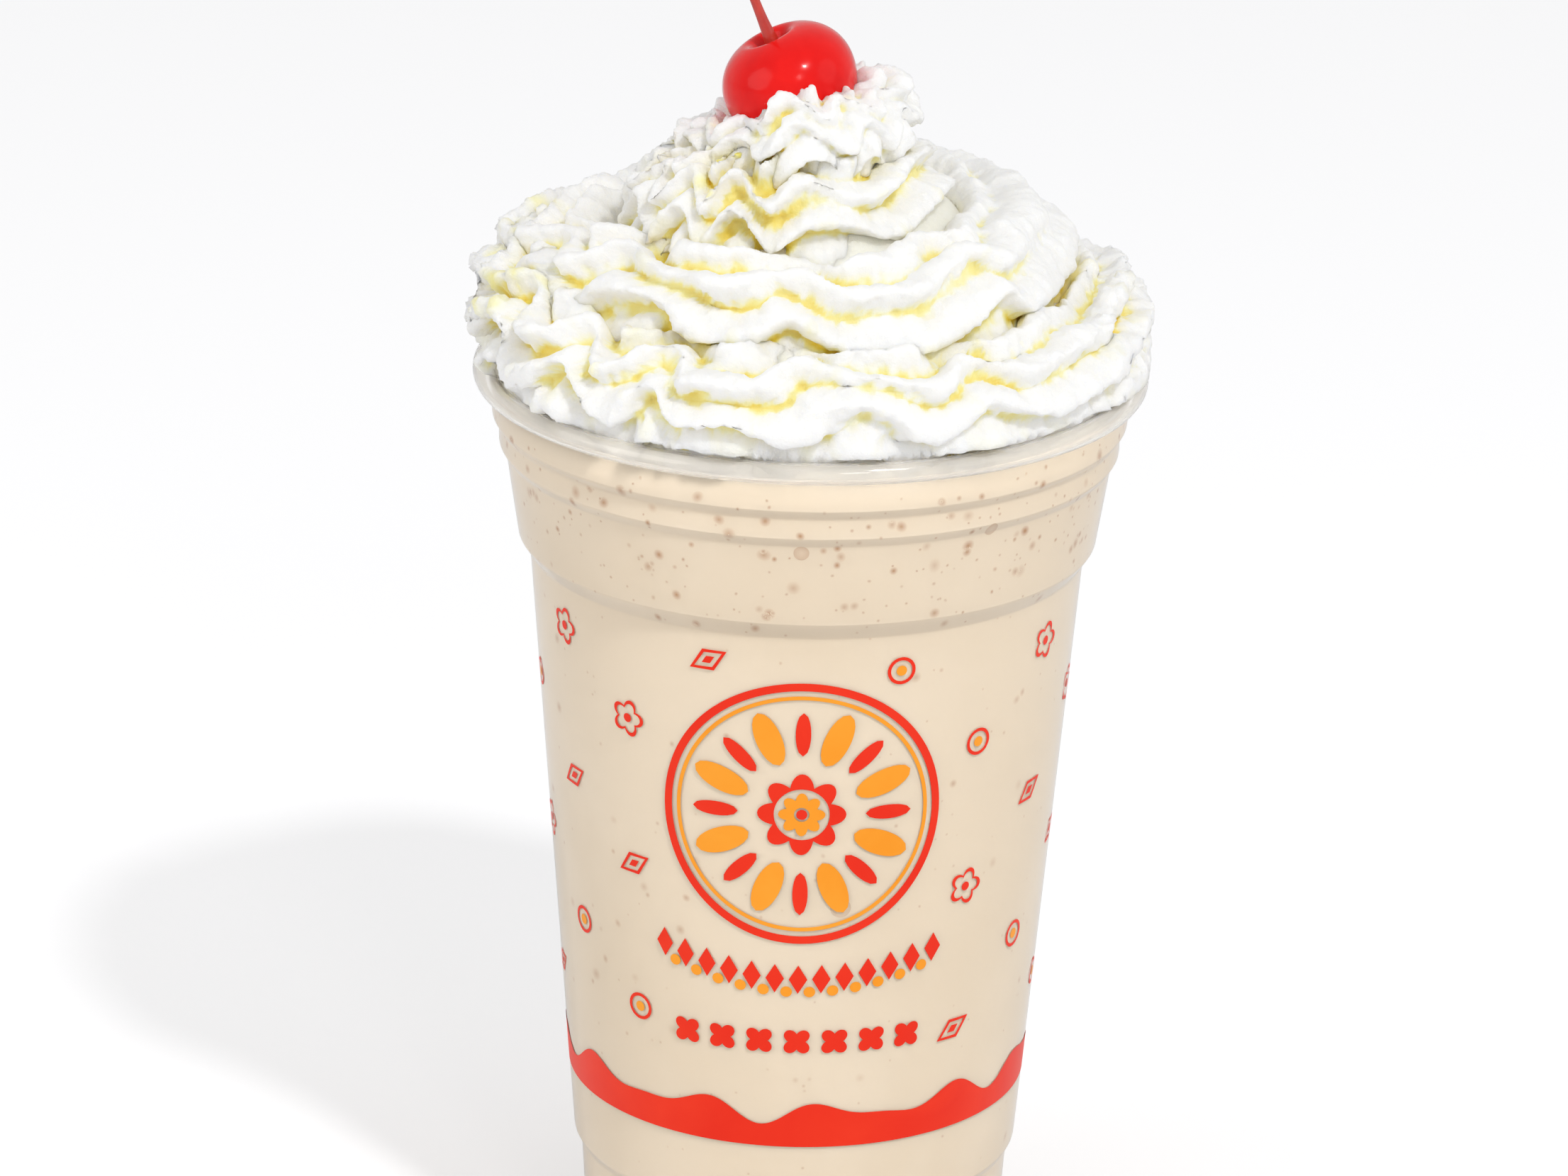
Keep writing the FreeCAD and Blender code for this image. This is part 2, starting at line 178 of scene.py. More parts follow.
def add_lamp(name, azimuth, elevation, distance, size, power):
    """A round area lamp that faces the drink from a direction."""
    data = bpy.data.lights.new(name, "AREA")
    data.shape = "DISK"
    data.size = size
    data.energy = power
    lamp = bpy.data.objects.new(name, data)
    a, e = math.radians(azimuth), math.radians(elevation)
    offset = Vector((math.sin(a) * math.cos(e), -math.cos(a) * math.cos(e), math.sin(e)))
    lamp.location = LAMP_TARGET + offset * distance
    lamp.rotation_mode = "QUATERNION"
    lamp.rotation_quaternion = (-offset).to_track_quat("-Z", "Y")
    bpy.context.scene.collection.objects.link(lamp)


def seen_directly(tree):
    """A socket that is 1 for what the camera sees, also through the clear cup, and else 0."""
    path = tree.nodes.new("ShaderNodeLightPath")
    seen = tree.nodes.new("ShaderNodeMath")
    seen.operation = "MAXIMUM"
    tree.links.new(path.outputs["Is Camera Ray"], seen.inputs[0])
    tree.links.new(path.outputs["Is Transmission Ray"], seen.inputs[1])
    return seen.outputs[0]


def make_light():
    """The lamps, and a pale world that looks white to the camera."""
    for lamp in LAMPS:
        add_lamp(*lamp)
    world = bpy.data.worlds.new("studio")
    bpy.context.scene.world = world
    world.use_nodes = True
    tree = world.node_tree
    background = tree.nodes["Background"]
    background.inputs["Color"].default_value = WHITE
    strength = add_node(tree, "ShaderNodeMapRange", To_Min=WORLD_LIGHT, To_Max=WORLD_SEEN)
    tree.links.new(seen_directly(tree), strength.inputs["Value"])
    tree.links.new(strength.outputs[0], background.inputs["Strength"])


def make_floor():
    """A large pale floor that fades into the white behind it and keeps the drink's shadow."""
    half = FLOOR_HALF
    corners = [(-half, -half, 0), (half, -half, 0), (half, half, 0), (-half, half, 0)]
    floor = new_mesh("floor", corners, [(0, 1, 2, 3)], smooth=False)
    material, tree, shader = new_material("floor_paper")
    set_inputs(shader, Base_Color=FLOOR_COLOUR, Roughness=0.9, Specular_IOR_Level=0.1)
    glow = add_node(tree, "ShaderNodeEmission", Color=WHITE)
    strength = tree.nodes.new("ShaderNodeMath")
    strength.operation = "MULTIPLY"
    strength.inputs[1].default_value = FLOOR_GLOW
    tree.links.new(seen_directly(tree), strength.inputs[0])
    tree.links.new(strength.outputs[0], glow.inputs["Strength"])
    both = tree.nodes.new("ShaderNodeAddShader")
    tree.links.new(shader.outputs[0], both.inputs[0])
    tree.links.new(glow.outputs[0], both.inputs[1])
    tree.links.new(both.outputs[0], tree.nodes["Material Output"].inputs["Surface"])
    put_material(floor, material)


# ---------------------------------------------------------------- cup and drink

PLASTIC_TINT = (0.985, 0.98, 0.975, 1)
SHADOW_TINT = (0.97, 0.97, 0.97, 1)
LIP_CLARITY = 0.8
LIP_TINT = (1.0, 0.975, 0.93, 1)
LIP_DEPTH = 4.4 * MM
LIP_FADE = 3.0 * MM
# Between which values of the noise a mottled surface runs from its dark to its light colour.
MOTTLE_STOPS = (0.32, 0.68)
SHAKE_DARK = (0.80, 0.685, 0.53)
SHAKE_LIGHT = (0.85, 0.74, 0.59)
WALL_BITE = 0.15 * MM


def height_factor(tree, low, high):
    """A socket that runs from 0 at one height to 1 at another."""
    place = tree.nodes.new("ShaderNodeNewGeometry")
    apart = tree.nodes.new("ShaderNodeSeparateXYZ")
    tree.links.new(place.outputs["Position"], apart.inputs[0])
    factor = add_node(tree, "ShaderNodeMapRange", From_Min=low, From_Max=high)
    factor.interpolation_type = "SMOOTHSTEP"
    tree.links.new(apart.outputs["Z"], factor.inputs["Value"])
    return factor.outputs["Result"]


def clear_plastic():
    """Thin clear plastic that lets the lamps through; its rolled lip is thicker and milky."""
    material, tree, shader = new_material("clear_plastic")
    set_inputs(shader, Roughness=0.08, IOR=1.45)
    in_lip = height_factor(tree, RIM_Z - LIP_DEPTH, RIM_Z - LIP_FADE)
    tint = tree.nodes.new("ShaderNodeValToRGB")
    tint.color_ramp.elements[0].color = PLASTIC_TINT
    tint.color_ramp.elements[1].color = LIP_TINT
    tree.links.new(in_lip, tint.inputs["Fac"])
    tree.links.new(tint.outputs["Color"], shader.inputs["Base Color"])
    clear = add_node(tree, "ShaderNodeMapRange", To_Min=1.0, To_Max=LIP_CLARITY)
    tree.links.new(in_lip, clear.inputs["Value"])
    tree.links.new(clear.outputs[0], shader.inputs["Transmission Weight"])
    through = add_node(tree, "ShaderNodeBsdfTransparent", Color=SHADOW_TINT)
    path = tree.nodes.new("ShaderNodeLightPath")
    both = tree.nodes.new("ShaderNodeMixShader")
    tree.links.new(path.outputs["Is Shadow Ray"], both.inputs["Fac"])
    tree.links.new(shader.outputs[0], both.inputs[1])
    tree.links.new(through.outputs[0], both.inputs[2])
    tree.links.new(both.outputs[0], tree.nodes["Material Output"].inputs["Surface"])
    return material


def add_grain(tree, shader, place, scale, strength, depth, **noise):
    """Fine bumps on a surface from noise of a scale."""
    grain = add_node(tree, "ShaderNodeTexNoise", Scale=scale, **noise)
    tree.links.new(place.outputs["Position"], grain.inputs["Vector"])
    bump = add_node(tree, "ShaderNodeBump", Strength=strength, Distance=depth)
    tree.links.new(grain.outputs["Fac"], bump.inputs["Height"])
    tree.links.new(bump.outputs["Normal"], shader.inputs["Normal"])


def mottled(name, dark, light, scale, roughness, grain_scale, grain_depth):
    """A surface whose colour drifts between two and whose skin is slightly uneven."""
    material, tree, shader = new_material(name)
    set_inputs(shader, Roughness=roughness)
    place = tree.nodes.new("ShaderNodeNewGeometry")
    swirl = add_node(tree, "ShaderNodeTexNoise", Scale=scale, Detail=4.0, Distortion=0.8)
    tree.links.new(place.outputs["Position"], swirl.inputs["Vector"])
    ramp = tree.nodes.new("ShaderNodeValToRGB")
    for stop, position, colour in zip(ramp.color_ramp.elements, MOTTLE_STOPS, (dark, light)):
        stop.position, stop.color = position, (*colour, 1)
    tree.links.new(swirl.outputs["Fac"], ramp.inputs["Fac"])
    tree.links.new(ramp.outputs["Color"], shader.inputs["Base Color"])
    add_grain(tree, shader, place, grain_scale, 0.5, grain_depth, Detail=3.0)
    return material, tree, shader, ramp.outputs["Color"]


def shake_material(name="shake"):
    """Pale beige drink, and for its specks the same with their own tone mixed in."""
    return mottled(name, SHAKE_DARK, SHAKE_LIGHT, 22.0, 0.5, 260.0, 0.15 * MM)


def turned(name, radii, heights, sides=256):
    """A closed turned solid from its outline, axis to axis."""
    verts = []
    faces = []
    rows = len(radii)
    angles = np.arange(sides) * TAU / sides
    for radius, height in zip(radii, heights):
        for angle in angles:
            verts.append((radius * math.cos(angle), radius * math.sin(angle), height))
    for row in range(rows - 1):
        for side in range(sides):
            following = (side + 1) % sides
            faces.append((row * sides + side, row * sides + following,
                          (row + 1) * sides + following, (row + 1) * sides + side))
    low, high = len(verts), len(verts) + 1
    verts += [(0, 0, heights[0]), (0, 0, heights[-1])]
    for side in range(sides):
        following = (side + 1) % sides
        faces.append((low, following, side))
        faces.append((high, (rows - 1) * sides + side, (rows - 1) * sides + following))
    return new_mesh(name, verts, faces)


def make_shake():
    """The drink, reaching just into the wall so that no air shows between them."""
    drink = turned("drink", SHAKE_BODY_R + WALL_BITE, SHAKE_BODY_Z)
    put_material(drink, shake_material()[0])
    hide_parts("milkshake")
    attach(drink, "root")


def make_cup():
    """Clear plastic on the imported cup."""
    put_material(NODES["cup"], clear_plastic())


# ---------------------------------------------------------------- print

PRINT_LIFT = 0.05 * MM

ROSETTE_HEIGHT = 88.0 * MM
RED_RING = (20.6 * MM, 19.4 * MM)
ORANGE_RING = (18.6 * MM, 18.0 * MM)
RAYS = 16
RAY_CENTRES = 12.6 * MM
ORANGE_PETAL = (4.3 * MM, 1.9 * MM)
RED_PETAL = (3.4 * MM, 1.1 * MM)
# Radius, petals and how deep they are cut, and then the radius of the hole.
RED_FLOWER, RED_FLOWER_HOLE = (6.4 * MM, 8, 0.3), 4.0 * MM
ORANGE_FLOWER, ORANGE_FLOWER_HOLE = (3.4 * MM, 8, 0.3), 1.1 * MM
ROSETTE_DOT = 0.8 * MM

BAND_LOW = 34.2 * MM
BAND_TOP = 39.8 * MM
BAND_WAVES = [(11, 0.0, 1.3 * MM), (17, 1.0, 0.7 * MM)]
BAND_SIDES = 720
BAND_ROWS = 8

MARK_ROWS = (52, 63.5, 75, 86.5, 98, 110)   # millimetres
MARK_COLUMNS = 9
MARK_WANDER = 1.5
ROSETTE_ROOM = 0.68
TOP_ROW_ROOM = 0.3
LOZENGE_TURN = 0.5
FLOWER_EDGE, FLOWER_HOLE, FLOWER_DOT = (2.9 * MM, 5, 0.35), (2.3 * MM, 5, 0.35), 0.7 * MM
LOZENGE_EDGE, LOZENGE_HOLE = (3.2 * MM, 1.8 * MM), (2.4 * MM, 1.25 * MM)
LOZENGE_DOT = (1.1 * MM, 0.6 * MM)
RING_EDGE, RING_HOLE, RING_DOT = 2.1 * MM, 1.6 * MM, 0.8 * MM

GARLAND_HALF = 6
GARLAND_STEP = 0.093
GARLAND_SAG = 3.4 * MM
GARLAND_HEIGHT = 65 * MM
GARLAND_LEAF = (1.35 * MM, 2.3 * MM)
DOT_HEIGHT = 63 * MM
DOT_SIZE = 0.85 * MM
FLOWER_HEIGHT = 51.5 * MM
FLOWER_STEP = 0.155
FLOWER_HALF = 3
FLOWER_TURN = math.pi / 4
ROW_FLOWER = (2.3 * MM, 4, 0.45)

RED_INK = ((0.84, 0.022, 0.004), (0.9, 0.035, 0.008))
ORANGE_INK = ((0.95, 0.32, 0.015), (1.0, 0.38, 0.03))


class Sheet:
    """Flat shapes in (arc length, height) laid on a turned surface and joined into one mesh."""

    def __init__(self, surface, lift):
        self.surface, self.lift = surface, lift
        self.verts, self.faces, self.tones = [], [], []

    def spot(self, across, height, around):
        """A point of the surface, so far across from the direction around and so high."""
        radius = self.surface(height) + self.lift
        angle = around + across / self.surface(height)
        return (radius * math.sin(angle), -radius * math.cos(angle), height)

    def patch(self, around, height, outer, inner=None, rings=3, sides=36, turn=0.0, tones=(1, 1)):
        """A shape about a point: its edge, and that of its hole, as radius against angle.
        The tones are the number kept with its points, from the middle or hole to the edge."""
        cos_turn, sin_turn = math.cos(turn), math.sin(turn)
        if not inner:
            self.verts.append(self.spot(0, height, around))
            self.tones.append(tones[0])
        first = len(self.verts)
        start = 0 if inner else 1
        for ring in range(start, rings + 1):
            share = ring / rings
            for side in range(sides):
                angle = TAU * side / sides
                low = inner(angle) if inner else 0.0
                far = low + (outer(angle) - low) * share
                x, y = far * math.cos(angle), far * math.sin(angle)
                self.verts.append(self.spot(x * cos_turn - y * sin_turn,
                                            height + x * sin_turn + y * cos_turn, around))
                self.tones.append(tones[0] + (tones[1] - tones[0]) * share)
        for side in range(sides):
            following = (side + 1) % sides
            if not inner:
                self.faces.append((first - 1, first + side, first + following))
            for low in range(first, first + (rings - start) * sides, sides):
                high = low + sides
                self.faces.append((low + side, high + side, high + following, low + following))

    def ribbon(self, low, top, rows, sides):
        """A band all round from a height up to an edge given as height against angle."""
        first = len(self.verts)
        for row in range(rows + 1):
            for side in range(sides):
                angle = TAU * side / sides
                self.verts.append(self.spot(0, low + (top(angle) - low) * row / rows, angle))
                self.tones.append(1)
        for row in range(rows):
            for side in range(sides):
                following = (side + 1) % sides
                start, end = first + row * sides, first + (row + 1) * sides
                self.faces.append((start + side, start + following, end + following, end + side))

    def build(self, name, material, slot):
        """One piece from every shape laid so far."""
        piece = new_mesh(name, self.verts, self.faces)
        mark_points(piece, "tone", self.tones)
        put_material(piece, material)
        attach(piece, "root")


def oval(half_width, half_height):
    """An ellipse's edge, as radius against angle."""
    def edge(angle):
        return 1 / math.hypot(math.cos(angle) / half_width, math.sin(angle) / half_height)
    return edge


def circle(radius):
    """A round edge."""
    return oval(radius, radius)


def lozenge(half_width, half_height):
    """A lozenge's edge, as radius against angle."""
    def edge(angle):
        return 1 / (abs(math.cos(angle)) / half_width + abs(math.sin(angle)) / half_height)
    return edge


def blossom(radius, petals, depth):
    """A flower's edge with so many round petals."""
    def edge(angle):
        return radius * (1 - depth + depth * abs(math.cos(angle * petals / 2)))
    return edge


def lay_rosette(red, orange, height):
    """The large motif: two rings, rays of petals and a small flower in the middle."""
    for sheet, (outer, inner) in ((red, RED_RING), (orange, ORANGE_RING)):
        sheet.patch(0, height, circle(outer), circle(inner), 3, 160)
    for ray in range(RAYS):
        turn = TAU * ray / RAYS
        sheet, size = (orange, ORANGE_PETAL) if ray % 2 else (red, RED_PETAL)
        across, up = RAY_CENTRES * math.cos(turn), RAY_CENTRES * math.sin(turn)
        sheet.patch(across / sheet.surface(height), height + up, oval(*size), None, 3, 28, turn)
    red.patch(0, height, blossom(*RED_FLOWER), circle(RED_FLOWER_HOLE), 2, 96)
    orange.patch(0, height, blossom(*ORANGE_FLOWER), circle(ORANGE_FLOWER_HOLE), 2, 64)
    red.patch(0, height, circle(ROSETTE_DOT), None, 2, 20)


def band_edge(angle):
    """The waved upper edge of the band round the foot of the body."""
    return BAND_TOP + sum(depth * math.sin(count * angle + start)
                          for count, start, depth in BAND_WAVES)


def lay_mark(red, orange, kind, around, place):
    """One small mark: a flower, a lozenge or a ring, each with its dot."""
    if kind == 0:
        red.patch(around, place, blossom(*FLOWER_EDGE), blossom(*FLOWER_HOLE), 1, 80)
        red.patch(around, place, circle(FLOWER_DOT), None, 1, 16)
    elif kind == 1:
        edge, hole = lozenge(*LOZENGE_EDGE), lozenge(*LOZENGE_HOLE)
        red.patch(around, place, edge, hole, 1, 40, LOZENGE_TURN)
        red.patch(around, place, lozenge(*LOZENGE_DOT), None, 1, 24, LOZENGE_TURN)
    else:
        red.patch(around, place, circle(RING_EDGE), circle(RING_HOLE), 1, 40)
        orange.patch(around, place, circle(RING_DOT), None, 1, 16)


def lay_small_marks(red, orange):
    """Small marks in staggered rows all round, leaving room for the rosette."""
    for row, height in enumerate(MARK_ROWS):
        room = ROSETTE_ROOM if row < len(MARK_ROWS) - 1 else TOP_ROW_ROOM
        for column in range(MARK_COLUMNS):
            around = TAU * (column + 0.5 * (row % 2)) / MARK_COLUMNS
            if abs((around + math.pi) % TAU - math.pi) < room:
                continue
            place = (height + MARK_WANDER * math.sin(5 * column)) * MM
            lay_mark(red, orange, (row + column) % 3, around, place)


def garland_sag(step):
    """How far the garland hangs at a step: most in its middle, nothing at its ends."""
    return GARLAND_SAG * (1 - (step / GARLAND_HALF) ** 2)


def lay_garlands(red, orange):
    """A hanging garland of lozenges and dots under the rosette, and a row of flowers."""
    for step in range(-GARLAND_HALF, GARLAND_HALF + 1):
        red.patch(step * GARLAND_STEP, GARLAND_HEIGHT - garland_sag(step),
                  lozenge(*GARLAND_LEAF), None, 2, 24)
        if step < GARLAND_HALF:
            between = step + 0.5
            orange.patch(between * GARLAND_STEP, DOT_HEIGHT - garland_sag(between),
                         circle(DOT_SIZE), None, 1, 20)
    for step in range(-FLOWER_HALF, FLOWER_HALF + 1):
        red.patch(step * FLOWER_STEP, FLOWER_HEIGHT, blossom(*ROW_FLOWER), None, 2, 64,
                  FLOWER_TURN)


def ink(name, dark, light):
    """Printed ink that varies a little between two colours."""
    material, _, shader, _ = mottled(name, dark, light, 60.0, 0.4, 400.0, 0.03 * MM)
    set_inputs(shader, Specular_IOR_Level=0.2)
    return material


def make_print():
    """Plain generic ornament printed on the cup in red and orange."""
    red, orange = Sheet(wall_radius, PRINT_LIFT), Sheet(wall_radius, PRINT_LIFT)
    lay_rosette(red, orange, ROSETTE_HEIGHT)
    red.ribbon(BAND_LOW, band_edge, BAND_ROWS, BAND_SIDES)
    lay_small_marks(red, orange)
    lay_garlands(red, orange)
    red.build("print_red_marks", ink("red_ink", *RED_INK), "print_red")
    orange.build("print_orange_marks", ink("orange_ink", *ORANGE_INK), "print_orange")


# ---------------------------------------------------------------- specks

SPECK_BROWN = (0.42, 0.17, 0.04, 1)
SPECK_LIFT = 0.03 * MM
SPECK_SEED = 11
SPECK_LEAST = 0.26            # millimetres, as is the span above it
SPECK_SPAN = 0.85
SPECK_WIDTHS = (0.8, 1.25)    # from and to what share of its height a speck is wide
SPECK_TONES = (0.35, 1.0)     # from and to what share of its zone's strength
SMALL_TONE = 0.6              # the share of its tone that doesn't hang on a speck's size
FULL_TONE_SIZE = 0.6          # millimetres, from which a speck has its whole tone
# How many, from and to which height in millimetres, how strong, and how rare large ones are.
SPECK_ZONES = [(560, 116, 139, 0.9, 5.0), (120, 124, 138, 1.0, 2.2), (420, 24, 116, 0.55, 5.0),
               (50, 2, 22, 0.5, 2.2)]
# Direction, height and radius in millimetres, and how strong.
LARGE_SPECKS = [(0.16, 73.0, 1.5, 0.22), (-0.02, 129.5, 1.1, 0.3), (0.62, 131.0, 1.0, 0.28),
                (2.6, 90.0, 1.3, 0.22), (-1.7, 120.0, 1.2, 0.26), (3.9, 60.0, 1.1, 0.22)]
LARGE_CORE = 0.55             # the paler core's share of the radius
LARGE_RIM_TONE, LARGE_MIDDLE_TONE = 1.3, 0.6


def speck_material():
    """The drink's own colour at a speck's edge, brown towards its middle."""
    material, tree, shader, ground = shake_material("speck")
    tone = tree.nodes.new("ShaderNodeAttribute")
    tone.attribute_name = "tone"
    mix = tree.nodes.new("ShaderNodeMix")
    mix.data_type = "RGBA"
    tree.links.new(tone.outputs["Fac"], mix.inputs["Factor"])
    tree.links.new(ground, mix.inputs[6])
    mix.inputs[7].default_value = SPECK_BROWN
    tree.links.new(mix.outputs[2], shader.inputs["Base Color"])
    return material


def make_specks():
    """Soft-edged specks and small bubbles against the wall, most of them near the top."""
    random = np.random.default_rng(SPECK_SEED)
    sheet = Sheet(drink_radius, WALL_BITE + SPECK_LIFT)
    for count, low, high, strength, rarity in SPECK_ZONES:
        for _ in range(count):
            around = random.uniform(0, TAU)
            height = random.uniform(low, high) * MM
            size = SPECK_LEAST + SPECK_SPAN * random.random() ** rarity
            full = SMALL_TONE + (1 - SMALL_TONE) * min(size / FULL_TONE_SIZE, 1)
            tone = strength * random.uniform(*SPECK_TONES) * full
            wide = size * random.uniform(*SPECK_WIDTHS) * MM
            sheet.patch(around, height, oval(wide, size * MM), None, 3, 14,
                        random.uniform(0, math.pi), (tone, 0.0))
    for around, height, size, tone in LARGE_SPECKS:
        edge, core = circle(size * MM), circle(LARGE_CORE * size * MM)
        sheet.patch(around, height * MM, edge, core, 2, 28, tones=(tone, tone * LARGE_RIM_TONE))
        sheet.patch(around, height * MM, core, None, 2, 28, tones=(tone * LARGE_MIDDLE_TONE, tone))
    sheet.build("drink_specks", speck_material(), "speck")


# ---------------------------------------------------------------- whipped cream: noise and grids

NOISE_TURN = np.array(Matrix.Rotation(0.7, 3, Vector((1.0, 2.0, 3.0))))


def value_noise(spots, size, seed):
    """Smooth random values from -1 to 1 at points in space, a cell being size across."""
    scaled = spots @ NOISE_TURN / size + seed * 7.31
    cell = np.floor(scaled).astype(np.int64)
    part = scaled - cell
    part = part * part * part * (part * (part * 6 - 15) + 10)
    total = np.zeros(spots.shape[:-1])
    for corner in range(8):
        step = np.array([corner & 1, (corner >> 1) & 1, (corner >> 2) & 1])
        weight = np.prod(np.where(step == 1, part, 1 - part), axis=-1)
        x, y, z = np.moveaxis(cell + step, -1, 0)
        mixed = (x * 73856093) ^ (y * 19349663) ^ (z * 83492791) ^ (seed * 2654435761)
        mixed = (mixed ^ (mixed >> 13)) * 1274126177 & 0x7FFFFFFF
        mixed = (mixed ^ (mixed >> 16)) * 668265263 & 0x7FFFFFFF
        total += weight * ((mixed & 0xFFFF) / 32767.5 - 1)
    return total


def fractal_noise(spots, size, octaves, seed):
    """Several sizes of noise added up, each half as large and half as strong."""
    total = np.zeros(spots.shape[:-1])
    for octave in range(octaves):
        total += value_noise(spots, size / 2 ** octave, seed + octave) / 2 ** octave
    return total


def smooth_steps(position, stops):
    """A value read from (position, value) stops with eased steps between them."""
    places = np.array([place for place, _ in stops])
    values = np.array([value for _, value in stops])
    index = np.searchsorted(places, position, side="right") - 1
    index = np.clip(index, 0, len(stops) - 2)
    part = np.clip((position - places[index]) / (places[index + 1] - places[index]), 0, 1)
    part = part * part * (3 - 2 * part)
    return values[index] * (1 - part) + values[index + 1] * part


def grid_normals(grid):
    """Unit normals of a grid of points that closes in its second direction."""
    along = np.gradient(grid, axis=0)
    around = np.roll(grid, -1, axis=1) - np.roll(grid, 1, axis=1)
    normal = np.cross(along, around)
    return normal / np.maximum(np.linalg.norm(normal, axis=-1, keepdims=True), 1e-12)


def grid_faces(steps, sides):
    """Quads over a grid of points that closes in its second direction."""
    rows = np.arange(steps - 1)[:, None] * sides
    cols = np.arange(sides)
    nexts = (cols + 1) % sides
    corners = [rows + cols, rows + sides + cols, rows + sides + nexts, rows + nexts]
    return np.stack(corners, axis=-1).reshape(-1, 4)


def blur(grid, rounds):
    """The same grid with each point drawn towards its neighbours again and again."""
    for _ in range(rounds):
        grid = 0.5 * grid + 0.25 * (np.roll(grid, 1, axis=1) + np.roll(grid, -1, axis=1))
        padded = np.concatenate([grid[:1], grid, grid[-1:]])
        grid = 0.5 * grid + 0.25 * (padded[:-2] + padded[2:])
    return grid


# ---------------------------------------------------------------- whipped cream: piped ropes

END_TURN = 0.035                      # over how much of a turn a rope's end closes
END_FLAT = 0.02                       # the share of its radius left at the very end
WANDER, WANDER_SIZE = 1.4 * MM, 14 * MM
SIDE_STEP_SIZE = 11 * MM
DRIFT, DRIFT_SIZE = 2.0, 15 * MM      # how unevenly the fins' waves come
UNEVEN, UNEVEN_SIZE = 0.4, 9 * MM     # how unevenly deep the fins are
ROLL_LEAD = 1.1                       # how far a wave runs ahead on its way round the rope
SECOND_WAVE = 0.15                    # the share of a wave twice as fast
RIDGE_MEAN = 0.6                      # the height of the ridges that keeps the rope's size
SMOOTHING = 4
OVERHANG = 0.5                        # how far fins hang over, as a share of their depth
SHEAR = 0.22                          # how far they lean along the rope
FULL_SIZE = 4 * MM                    # a thinner end has shallower fins
# The lumps' size, octaves and height; they grow CRUMBLY_EDGE rougher towards left and right.
LUMPS = [(4.0 * MM, 2, 0.45 * MM), (1.2 * MM, 2, 0.34 * MM)]
CRUMBLY_EDGE = 1.3
CRUMBLY_FROM, CRUMBLY_OVER = 37.4 * MM, 11 * MM

CUP_INSIDE = SHAKE_BODY_R[-1] - 0.3 * MM   # the room inside the lip, less a clearance
EDGE_SOFTNESS = 1.0 * MM              # over which the widest folds are drawn in
# The widest that the cream may be at a height: inside the lip, over it, and above it.
LIP_HEIGHTS = [RIM_Z - 1.6 * MM, RIM_Z + 0.2 * MM, RIM_Z + 1.6 * MM]
LIP_LIMITS = [CUP_INSIDE, CUP_INSIDE + 1.0 * MM, RIM_R + 3 * MM]

# The painted shade in the cream's folds comes from these valleys and from the rays below.
# Rounds of blur that give a rope's mean, and how far under it counts as the bottom.
VALLEY_SIZES = [(10, 0.5 * MM), (40, 1.2 * MM)]
# Rays start from every RAY_STRIDE-th point, just off the skin, and lean RAY_LIFT outwards.
RAY_SEED = 5
RAY_STRIDE = 2
RAY_COUNT = 10
RAY_LIFT = 1.05
RAY_START = 0.25 * MM
RAY_REACH = 6.5 * MM
# How much the rays and the valleys each give to the painted shade.
SHUT_SHARE = 0.8
VALLEY_SHARE = 0.45
PALE_TOP, PALE_FROM, PALE_OVER = 0.15, 169 * MM, 9 * MM   # painted shade eases off towards the heap's top
